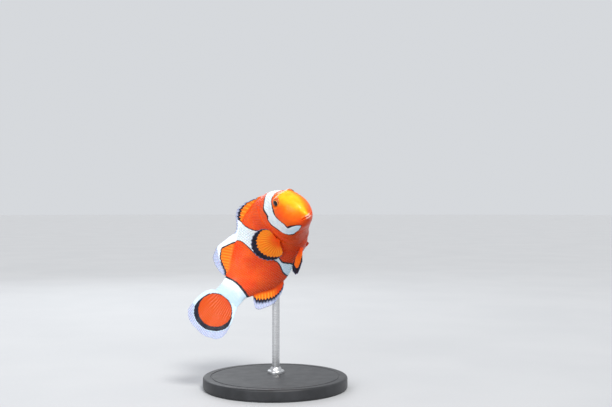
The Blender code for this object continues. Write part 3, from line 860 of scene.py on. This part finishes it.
def fish_material(name, scales=False):
    N = Nodes(name)
    p = N.p
    at = {k: N.attr(k) for k in FIELDS}
    n_big, n_mid, n_fine = N.noise(130, 3), N.noise(620, 4), N.noise(2600, 3)
    n_edge = N.noise(1100, 5, .62)
    jit = N.math('MULTIPLY', N.math('SUBTRACT', n_edge, .5), .0105)
    fine = N.math('MULTIPLY', N.math('SUBTRACT', n_fine, .5), .0030)
    jit = N.math('ADD', jit, fine)
    white = N.ramp(N.math('ADD', at['m_white'], N.math('MULTIPLY', jit, .55)), -.0011, .0011)
    black = N.ramp(N.math('ADD', at['m_black'], jit), -.0013, .0013)
    clear = N.ramp(N.math('ADD', at['m_clear'], N.math('MULTIPLY', jit, .9)), -.0045, .0060)
    # orange of the body
    o = N.mix(N.ramp(n_big, .32, .68), (.930, .058, .003), (.970, .105, .004))
    o = N.mix(N.math('MULTIPLY', N.ramp(n_mid, .48, .80), .25), o, (.960, .190, .014))
    # face tint, yellow toward the top of the forehead: partly the face's own colour, partly a painted highlight
    o = N.mix(N.ramp(at['m_face'], .0, .55), o, N.mix(N.ramp(n_mid, .30, .75), (.960, .175, .002), (1.000, .240, .003)))
    o = N.mix(N.ramp(at['m_face'], .42, 1.0), o, N.mix(N.ramp(n_mid, .30, .75), (.985, .440, .008), (1.000, .540, .014)))
    # painted shade: dark red-brown on the lower side, fin roots, dorsal fin, peduncle and tail
    o = N.mix(N.math('MULTIPLY', at['m_belly'], .74), o, (.430, .032, .002))
    # fins: yellower, streaked along the rays
    f = N.mix(N.ramp(n_mid, .30, .75), (.960, .190, .004), (1.000, .290, .006))
    f = N.mix(N.ramp(at['m_ray'], .1, .9, .0, .55), f, (1.000, .440, .040))
    o = N.mix(at['m_tone'], o, f)
    dark_web = N.math('MULTIPLY', N.math('MULTIPLY', N.math('SUBTRACT', 1.0, at['m_ray']), at['m_fin']),
                      N.ramp(n_mid, .30, .70, .10, .42))
    o = N.mix(dark_web, o, (.480, .050, .004))
    # pepper of dark cells near the black margins
    pep = N.math('MULTIPLY', N.ramp(at['m_black'], -.022, -.001), N.ramp(N.noise(4200, 2), .56, .66))
    o = N.mix(N.math('MULTIPLY', pep, .55), o, (.030, .016, .018))
    # lips
    o = N.mix(N.math('MULTIPLY', at['m_lip'], .80), o, N.mix(N.ramp(n_fine, .3, .7), (.760, .380, .310), (.880, .560, .480)))
    # black with a blue cast, white with a cool one
    k = N.mix(N.ramp(n_mid, .30, .70), (.006, .007, .014), (.018, .020, .040))
    w = N.mix(N.ramp(n_mid, .30, .72), (.800, .890, .920), (.895, .945, .950))
    w = N.mix(N.math('MULTIPLY', N.ramp(N.noise(340, 2), .50, .74), .35), w, (.640, .760, .900))
    # painted shade on the white: deeper blue on the lower side, peduncle and tail
    w = N.mix(N.math('MULTIPLY', N.ramp(at['m_belly'], .15, .90), .60), w, (.420, .640, .810))
    w = N.mix(N.math('MULTIPLY', at['m_fin'], N.ramp(at['m_ray'], .0, 1.0, .35, .0)), w, (.560, .660, .820))
    col = N.mix(black, o, k)
    col = N.mix(white, col, w)
    c = N.mix(N.ramp(at['m_ray'], 0.0, .9), (.300, .360, .640), (.560, .640, .880))
    col = N.mix(clear, col, c)
    if scales:
        u = N.attr('m_scale')
        # painted shade on the tucked-in base of each scale, painted highlight on its raised free edge
        col = N.mix(N.ramp(u, .35, 1.0, .10, 0.0), col, N.mix(.5, col, (.0, .0, .0)))
        col = N.mix(N.ramp(u, .80, 1.0, 0.0, .10), col, (1.0, .95, .90))
    N.put(p.inputs['Base Color'], col)
    r = N.math('ADD', N.ramp(n_mid, .25, .80, .27, .42), N.math('MULTIPLY', at['m_fin'], .20))
    N.put(p.inputs['Roughness'], r)
    p.inputs['Specular IOR Level'].default_value = .15
    p.inputs['Coat Weight'].default_value = .10
    p.inputs['Coat Roughness'].default_value = .14
    p.inputs['Coat IOR'].default_value = 1.38
    p.inputs['Subsurface Weight'].default_value = .10
    p.inputs['Subsurface Radius'].default_value = (1.0, .42, .22)
    p.inputs['Subsurface Scale'].default_value = .0009
    if not scales:
        thin = N.math('MULTIPLY', clear, N.ramp(at['m_ray'], 0.0, 1.0, .66, .38))
        N.put(p.inputs['Alpha'], N.math('SUBTRACT', 1.0, thin))
        h = N.math('ADD', N.math('MULTIPLY', n_fine, .6), N.math('MULTIPLY', N.voronoi(3000), .5))
        N.put(p.inputs['Normal'], N.bump(h, .22, .00005))
    else:
        u = N.attr('m_scale')
        circ = N.math('SINE', N.math('MULTIPLY', u, 46.0))
        h = N.math('ADD', N.math('MULTIPLY', circ, .20), N.math('MULTIPLY', n_fine, .5))
        N.put(p.inputs['Normal'], N.bump(h, .18, .00004))
    return N.m


M_SKIN = fish_material('fish_skin')
M_SCALE = fish_material('fish_scale', True)
body = skin.build('fish_skin', [M_SKIN])
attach(body, 'root')
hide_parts('head', 'trunk', 'peduncle', 'dorsal_fin_spiny', 'dorsal_fin_soft', 'anal_fin', 'caudal_fin',
            'pectoral_fin_right', 'pectoral_fin_left', 'pelvic_fin_right', 'pelvic_fin_left')

# --------------------------------------------------------------- scales
SF = ('m_white', 'm_black', 'm_clear', 'm_fin', 'm_ray', 'm_face', 'm_belly', 'm_lip', 'm_tone', 'm_scale')


def arc_table(s, n=181):
    ph = np.linspace(0, PI, n)
    t, b, w = section(np.array(s))
    e = np.sqrt((w * np.cos(ph)) ** 2 + ((t - b) / 2 * np.sin(ph)) ** 2)
    arc = np.concatenate([[0], np.cumsum((e[1:] + e[:-1]) / 2 * (ph[1] - ph[0]))])
    return ph, arc


def scales_of(side):
    rows = 27
    s = .118
    k = 0
    cs, cp, cl, cw = [], [], [], []
    while s < .996:
        ds = float(np.interp(s, [.10, .24, .31, .60, .85, 1.0], [.0098, .0120, .0152, .0160, .0122, .0092]))
        ph, arc = arc_table(s)
        fin_up = .288 < s < .878
        fin_dn = .680 < s < .876
        t, b, w = section(np.array(s))
        pr = math.asin(float(root_half(np.array(s)) / w))
        lo = np.interp(pr * .92 if fin_up else .02, ph, arc)
        hi = np.interp(PI - (pr * .92 if fin_dn else .02), ph, arc)
        j = (np.arange(rows) + (.25 if k % 2 else .75)) / rows
        a = np.interp(lo + j * (hi - lo), arc, ph)
        cs.append(np.full(rows, s) + RNG.normal(0, .0004, rows))
        cp.append(a)
        cl.append(np.full(rows, ds))
        cw.append(np.full(rows, (hi - lo) / rows))
        s += ds
        k += 1
    cs, cp, cl, cw = map(np.concatenate, (cs, cp, cl, cw))
    # follow the gill cover's lean
    cs = cs + (warp(cs, cp) - cs) * smooth(cp / .5) * smooth((PI - cp) / .4)
    e = cs - (HEAD_END + gill_edge(cp))
    slit = (np.abs(e - .002) < .0075) & (cp > .62) & (cp < 2.95)
    ctr, _ = skin_point(cs, side * cp)
    keep = ~slit
    for tag in EYES:
        keep &= np.linalg.norm(ctr - EYES[tag][0], axis=1) > EYE_R * 1.42
    lat, z = flank(cs, cp)
    keep &= (cs > .125 + .05 * smooth((z - .02) / .08))
    for s0, z0, rr_ in ((PECT_S, PECT_Z, .030), (PELV_S, PELV_Z, .016)):
        keep &= np.hypot(cs - s0, (z - z0)) > rr_
    cs, cp, cl, cw = cs[keep], cp[keep], cl[keep], cw[keep]
    n = len(cs)
    size = RNG.uniform(.95, 1.06, n)
    nu, nv = 5, 5
    u = np.linspace(0, 1, nu)[None, :, None]
    v = np.linspace(-1, 1, nv)[None, None, :]
    L = (cl * 1.62 * size)[:, None, None]
    W = (cw * .60 * size)[:, None, None]
    x = -.30 * L + u * L * (1 - .30 * v * v)
    y = v * W * (1 - .10 * (1 - u) - .10 * u * u)
    x, y = x + 0 * y, y + 0 * x
    cs_, cp_ = cs[:, None, None], cp[:, None, None]
    S2 = cs_ + x
    t, b, w = section(S2)
    met = np.sqrt((w * np.cos(cp_)) ** 2 + ((t - b) / 2 * np.sin(cp_)) ** 2)
    A2 = cp_ + y / np.maximum(met, .02)
    small = smooth((cs - .11) / .12)[:, None, None]
    rise = (.0023 * (.62 + .38 * small)) * u ** .85
    h = -.0007 + rise - .0006 * v * v
    p, nrm = skin_point(S2, side * A2, h)
    low = p - nrm * (.0013 * UNIT)
    mid = np.arange(nu * nv).reshape(nu, nv)
    loop = np.concatenate([mid[:, 0], mid[-1, 1:], mid[-2::-1, -1], mid[0, -2:0:-1]])
    nl_ = len(loop)
    top = p.reshape(n, nu * nv, 3)
    rim = low.reshape(n, nu * nv, 3)[:, loop]
    cen = rim.mean(1, keepdims=True)
    V = np.concatenate([top, rim, cen], 1)
    per = V.shape[1]
    q1 = grid_quads(nu, nv)
    nx = np.roll(np.arange(nl_), -1)
    q2 = np.stack([loop, nu * nv + np.arange(nl_), nu * nv + nx, loop[nx]], -1)
    q3 = np.stack([nu * nv + np.arange(nl_), np.full(nl_, per - 1), nu * nv + nx, nu * nv + nx], -1)
    Q = np.concatenate([q1, q2, q3])
    # outward test on the first plate
    a_, b_, c_ = V[0][Q[0][0]], V[0][Q[0][1]], V[0][Q[0][2]]
    if np.dot(np.cross(b_ - a_, c_ - a_), nrm[0, 0, 0]) < 0:
        Q = Q[:, ::-1]
    # triangles are stored with their last corner doubled
    fixed = Q[-nl_:].copy()
    for i in range(len(fixed)):
        r_ = list(dict.fromkeys(fixed[i].tolist()))
        fixed[i] = [r_[0], r_[1], r_[2], r_[2]]
    Q[-nl_:] = fixed
    quads = (Q[None] + (np.arange(n) * per)[:, None, None]).reshape(-1, 4)
    Sv = np.concatenate([S2.reshape(n, -1), S2.reshape(n, -1)[:, loop], cs[:, None]], 1)
    Av = np.concatenate([A2.reshape(n, -1), A2.reshape(n, -1)[:, loop], cp[:, None]], 1)
    Uv = np.concatenate([(u + 0 * x).reshape(n, -1), (u + 0 * x).reshape(n, -1)[:, loop], 0 * cs[:, None]], 1)
    wb, kb = body_marks(Sv, np.abs(Av))
    face, belly = tone_fields(Sv, np.abs(Av))
    U0 = (cs_ + .05) / 1.12 * .98 + .01
    V0 = cp_ / PI * .98 + .01
    uv = np.stack([U0 + (x / L - .2) * .003, V0 + y / W * .0015 * .9], -1).reshape(n, nu * nv, 2)
    uvc = np.stack([U0.reshape(n, 1), V0.reshape(n, 1)], -1)
    uv = np.concatenate([uv, uv[:, loop] * 1.0, uvc], 1)
    st = Store(SF)
    st.add(V.reshape(-1, 3), quads, uv.reshape(-1, 2), m_white=wb.ravel(), m_black=kb.ravel(), m_clear=-.05,
           m_face=face.ravel(), m_belly=belly.ravel(), m_scale=Uv.ravel())
    flat = np.zeros((n, len(Q)), bool)
    flat[:, len(q1):] = True
    ob = st.build('scales_right' if side > 0 else 'scales_left', [M_SCALE], flat=flat.ravel())
    return ob, n


n_sc = 0
for side in (1, -1):
    ob, n = scales_of(side)
    n_sc += n
    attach(ob, 'root')
print('scales', n_sc)


# --------------------------------------------------------------- eyes
def eye_material():
    N = Nodes('eye')
    p = N.p
    r, th = N.attr('e_r'), N.attr('e_t')
    n1, n2 = N.noise(2600, 4), N.noise(900, 3)
    vec = N.new('ShaderNodeCombineXYZ')
    N.put(vec.inputs[0], N.math('MULTIPLY', th, 9.0))
    N.put(vec.inputs[1], N.math('MULTIPLY', r, 3.0))
    streak = N.noise(3.2, 4, .6, vec.outputs[0])
    rj = N.math('ADD', r, N.math('MULTIPLY', N.math('SUBTRACT', n2, .5), .03))
    pupil = N.ramp(rj, .540, .560, 1, 0)
    iris = N.mix(N.ramp(streak, .35, .68), (.420, .070, .010), (.860, .230, .016))
    iris = N.mix(N.ramp(rj, .570, .615), (.950, .400, .050), iris)
    iris = N.mix(N.ramp(rj, .66, .78), iris, (.120, .030, .020))
    outer = N.mix(N.ramp(n1, .35, .70), (.620, .090, .012), (.860, .190, .016))
    col = N.mix(N.ramp(rj, .765, .800), iris, outer)
    col = N.mix(pupil, col, (.004, .005, .012))
    N.put(p.inputs['Base Color'], col)
    N.put(p.inputs['Roughness'], N.ramp(rj, .40, .80, .10, .26))
    p.inputs['Coat Weight'].default_value = .75
    p.inputs['Coat Roughness'].default_value = .03
    p.inputs['Coat IOR'].default_value = 1.36
    p.inputs['Specular IOR Level'].default_value = .15
    N.put(p.inputs['Normal'], N.bump(streak, .12, .00004))
    return N.m


M_EYE = eye_material()
for tag in EYES:
    c, out, t, u = EYES[tag]
    e1 = t - out * (t @ out)
    e1 /= np.linalg.norm(e1)
    e2 = np.cross(out, e1)
    nt, na = 56, 72
    th = np.linspace(0, PI, nt + 1)[1:-1][:, None]
    az = np.linspace(0, 2 * PI, na, endpoint=False)[None, :]
    rho = np.sin(th)
    hgt = np.cos(th)
    front = smooth((hgt - .30) / .5)
    hgt = hgt * (1 - .085 * front) + .030 * bell(rho, .40) * (hgt > 0)      # flat cornea, lens behind it
    R = EYE_R * .985
    P = (c + (out * (hgt * R)[..., None]) + (e1 * (rho * np.cos(az) * R)[..., None])
         + (e2 * (rho * np.sin(az) * R)[..., None]))
    er = np.where(np.cos(th) > 0, rho, 2 - rho) + 0 * az
    # the pupil of the fish points a little forward
    er = er - .035 * np.cos(az) * smooth((1 - er) / .5) * (er < 1)
    st = Store(('e_r', 'e_t'))
    q = grid_quads(nt - 1, na, close=True, flip=False)
    i0 = np.arange(na)
    c0, c1 = (nt - 1) * na, (nt - 1) * na + 1
    cap0 = np.stack([(i0 + 1) % na, i0, np.full(na, c0), np.full(na, c0)], -1)
    cap1 = np.stack([(nt - 2) * na + i0, (nt - 2) * na + (i0 + 1) % na, np.full(na, c1), np.full(na, c1)], -1)
    Q = np.concatenate([q, cap0, cap1])
    V = np.concatenate([P.reshape(-1, 3), [c + out * R * (.915 + .030)], [c - out * R]])
    UV = np.stack([.5 + .49 * (th / PI) * np.cos(az), .5 + .49 * (th / PI) * np.sin(az)], -1).reshape(-1, 2)
    a_, b_, c_ = V[Q[0][0]], V[Q[0][1]], V[Q[0][2]]
    if np.dot(np.cross(b_ - a_, c_ - a_), a_ - c) < 0:
        q2_ = Q[:, ::-1].copy()
        tri = Q[:, 3] == Q[:, 2]
        q2_[tri] = np.stack([Q[tri, 1], Q[tri, 0], Q[tri, 2], Q[tri, 2]], -1)
        Q = q2_
    st.add(V, Q, np.concatenate([UV, [[.5, .5]], [[.99, .5]]]),
           e_r=np.concatenate([er.ravel(), [0.0, 2.0]]), e_t=np.concatenate([(np.abs(az - PI) + 0 * th).ravel(), [0, 0]]))
    ob = st.build('eyeball_' + tag, [M_EYE])
    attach(ob, 'root')
    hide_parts('eye_' + tag)

# --------------------------------------------------------------- stand
b_lo, b_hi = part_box('stand_base')
r_lo, r_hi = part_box('stand_rod')
bx, by = (b_lo.x + b_hi.x) / 2, (b_lo.y + b_hi.y) / 2
rx, ry = (r_lo.x + r_hi.x) / 2, (r_lo.y + r_hi.y) / 2
BR, BT, RR = (b_hi.x - b_lo.x) / 2, b_hi.z, (r_hi.x - r_lo.x) / 2


def turned(name, x, y, prof, seg, mats, sharp=35):
    """Solid of revolution through (radius, height) points, closed on its axis."""
    prof = np.array(prof, float)
    az = np.linspace(0, 2 * PI, seg, endpoint=False)
    P = np.stack([x + prof[:, :1] * np.cos(az), y + prof[:, :1] * np.sin(az), prof[:, 1:] + 0 * az[None, :]], -1)
    n, m = P.shape[:2]
    q = grid_quads(n, m, close=True, flip=True)
    i0 = np.arange(m)
    c0, c1 = n * m, n * m + 1
    low = np.stack([(i0 + 1) % m, i0, np.full(m, c0), np.full(m, c0)], -1)
    upp = np.stack([(n - 1) * m + i0, (n - 1) * m + (i0 + 1) % m, np.full(m, c1), np.full(m, c1)], -1)
    V = np.concatenate([P.reshape(-1, 3), [[x, y, prof[0, 1]]], [[x, y, prof[-1, 1]]]])
    st = Store(())
    cum = np.concatenate([[0], np.cumsum(np.hypot(*np.diff(prof, axis=0).T))])
    UV = np.stack([np.broadcast_to(az / (2 * PI), (n, m)), np.broadcast_to((cum / cum[-1])[:, None], (n, m))], -1)
    st.add(V, np.concatenate([q, low, upp]), np.concatenate([UV.reshape(-1, 2), [[.5, 0]], [[.5, 1]]]))
    ob = st.build(name, mats)
    ob.data.uv_layers.remove(ob.data.uv_layers['OFBake'])
    import bmesh
    bm = bmesh.new()
    bm.from_mesh(ob.data)
    bmesh.ops.recalc_face_normals(bm, faces=bm.faces)
    bm.to_mesh(ob.data)
    bm.free()
    ob.data.set_sharp_from_angle(angle=math.radians(sharp))
    return ob


def arc(cx, cy, r, a0, a1, n=7):
    a = np.radians(np.linspace(a0, a1, n))
    return [(cx + r * math.cos(t), cy + r * math.sin(t)) for t in a]


def stand_paint():
    N = Nodes('stand_paint')
    n1, n2, n3 = N.noise(180, 4), N.noise(2400, 3), N.noise(5200, 2)
    col = N.mix(N.ramp(n1, .30, .72), (.012, .013, .015), (.024, .025, .029))
    col = N.mix(N.math('MULTIPLY', N.ramp(n3, .60, .72), .35), col, (.060, .062, .068))
    N.put(N.p.inputs['Base Color'], col)
    N.put(N.p.inputs['Roughness'], N.ramp(n1, .25, .80, .38, .52))
    N.put(N.p.inputs['Normal'], N.bump(N.math('ADD', n2, N.math('MULTIPLY', n3, .5)), .22, .00006))
    return N.m


def steel():
    N = Nodes('stand_steel')
    N.p.inputs['Metallic'].default_value = 1.0
    sep = N.new('ShaderNodeSeparateXYZ')
    N.put(sep.inputs[0], N.coord())
    v = N.new('ShaderNodeCombineXYZ')
    N.put(v.inputs[0], N.math('MULTIPLY', sep.outputs[0], 300))
    N.put(v.inputs[1], N.math('MULTIPLY', sep.outputs[1], 300))
    N.put(v.inputs[2], N.math('MULTIPLY', sep.outputs[2], 9000))
    br = N.noise(1.0, 3, .6, v.outputs[0])
    n1 = N.noise(240, 3)
    N.put(N.p.inputs['Base Color'], N.mix(N.ramp(br, .3, .7), (.560, .565, .575), (.700, .705, .715)))
    N.put(N.p.inputs['Roughness'], N.math('ADD', N.ramp(br, .25, .75, .22, .32), N.ramp(n1, .3, .8, 0, .08)))
    N.put(N.p.inputs['Normal'], N.bump(br, .12, .00003))
    return N.m


M_PAINT, M_STEEL = stand_paint(), steel()
e = .0009
prof = [(BR - .0016, 0), (BR - .0006, 0), (BR - .0003, .0003)] + [(BR - .0003, .0006), (BR, .0009)] \
    + [(BR, BT - e)] + arc(BR - e, BT - e, e, 0, 90)[1:] \
    + [(BR - .0030, BT), (BR - .0032, BT - .00022), (BR - .0036, BT - .00022), (BR - .0038, BT), (.0200, BT), (.0080, BT)]
base = turned('stand_base_turned', bx, by, prof, 192, [M_PAINT])
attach(base, 'root')
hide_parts('stand_base')
prof = [(RR, BT - .0006), (RR, r_hi.z - .0005), (RR - .0005, r_hi.z)]
rod = turned('stand_rod_brushed', rx, ry, prof, 64, [M_STEEL])
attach(rod, 'root')
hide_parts('stand_rod')
cr_ = RR + .0020
prof = [(cr_, BT - .0004), (cr_, BT + .0007)] + arc(cr_ - .0005, BT + .0007, .0005, 0, 90, 5)[1:] \
    + [(RR + .0008, BT + .0012), (RR + .0006, BT + .0022), (RR + .0003, BT + .0025), (RR - .0003, BT + .0025)]
collar = turned('stand_collar', rx, ry, prof, 96, [M_STEEL])
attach(collar, 'root')

# --------------------------------------------------------------- floor, light, camera
me = bpy.data.meshes.new('floor')
F = 40
rr_ = np.concatenate([[0], np.geomspace(.05, 6.0, 24)])
az = np.linspace(0, 2 * PI, 96, endpoint=False)
V = [(0, 0, 0)]
for r in rr_[1:]:
    V += [(r * math.cos(a), r * math.sin(a), 0) for a in az]
Fc = [(0, 1 + i, 1 + (i + 1) % 96) for i in range(96)]
for k in range(len(rr_) - 2):
    a0, a1 = 1 + k * 96, 1 + (k + 1) * 96
    Fc += [(a0 + i, a1 + i, a1 + (i + 1) % 96, a0 + (i + 1) % 96) for i in range(96)]
me.from_pydata(V, [], Fc)
floor = bpy.data.objects.new('floor', me)
bpy.context.scene.collection.objects.link(floor)
N = Nodes('floor_paper')
n1, n2 = N.noise(14, 4), N.noise(900, 3)
N.put(N.p.inputs['Base Color'], N.mix(N.ramp(n1, .3, .7), (.522, .530, .546), (.545, .552, .566)))
N.put(N.p.inputs['Roughness'], N.ramp(n2, .3, .7, .62, .74))
N.put(N.p.inputs['Normal'], N.bump(n2, .05, .0001))
me.materials.append(N.m)

world = bpy.data.worlds.new('studio')
bpy.context.scene.world = world
world.use_nodes = True
wt = world.node_tree
bg = wt.nodes['Background']
bg.inputs['Color'].default_value = (.84, .865, .90, 1)
bg.inputs['Strength'].default_value = .80


def area(name, loc, target, size, power, colour):
    d = bpy.data.lights.new(name, 'AREA')
    d.shape = 'DISK'
    d.size = size
    d.energy = power
    d.color = colour
    o = bpy.data.objects.new(name, d)
    bpy.context.scene.collection.objects.link(o)
    o.location = loc
    o.rotation_euler = (Vector(target) - Vector(loc)).to_track_quat('-Z', 'Y').to_euler()
    return o


mid_fish = (0.0, 0.0, .055)
sun = bpy.data.lights.new('key', 'SUN')
sun.energy = 2.15
sun.angle = math.radians(16)
sun.color = (1.0, .98, .94)
suno = bpy.data.objects.new('key', sun)
bpy.context.scene.collection.objects.link(suno)
suno.location = (.15, -.33, .465)
suno.rotation_euler = (Vector(mid_fish) - Vector(suno.location)).to_track_quat('-Z', 'Y').to_euler()
area('fill', (-.26, -.48, .24), mid_fish, .34, 1.10, (.96, .98, 1.0))
area('back', (-.16, .42, .34), mid_fish, .30, .60, (.92, .96, 1.0))

cam = bpy.data.cameras.new('camera')
cam.sensor_width = 36
cam.lens = 53.834
cam.clip_start = .005
camo = bpy.data.objects.new('camera', cam)
bpy.context.scene.collection.objects.link(camo)
camo.location = (0.01539, -0.38081, 0.07657)
camo.rotation_euler = (PI / 2, 0, 0)
bpy.context.scene.camera = camo
bpy.context.scene.view_settings.view_transform = 'Standard'
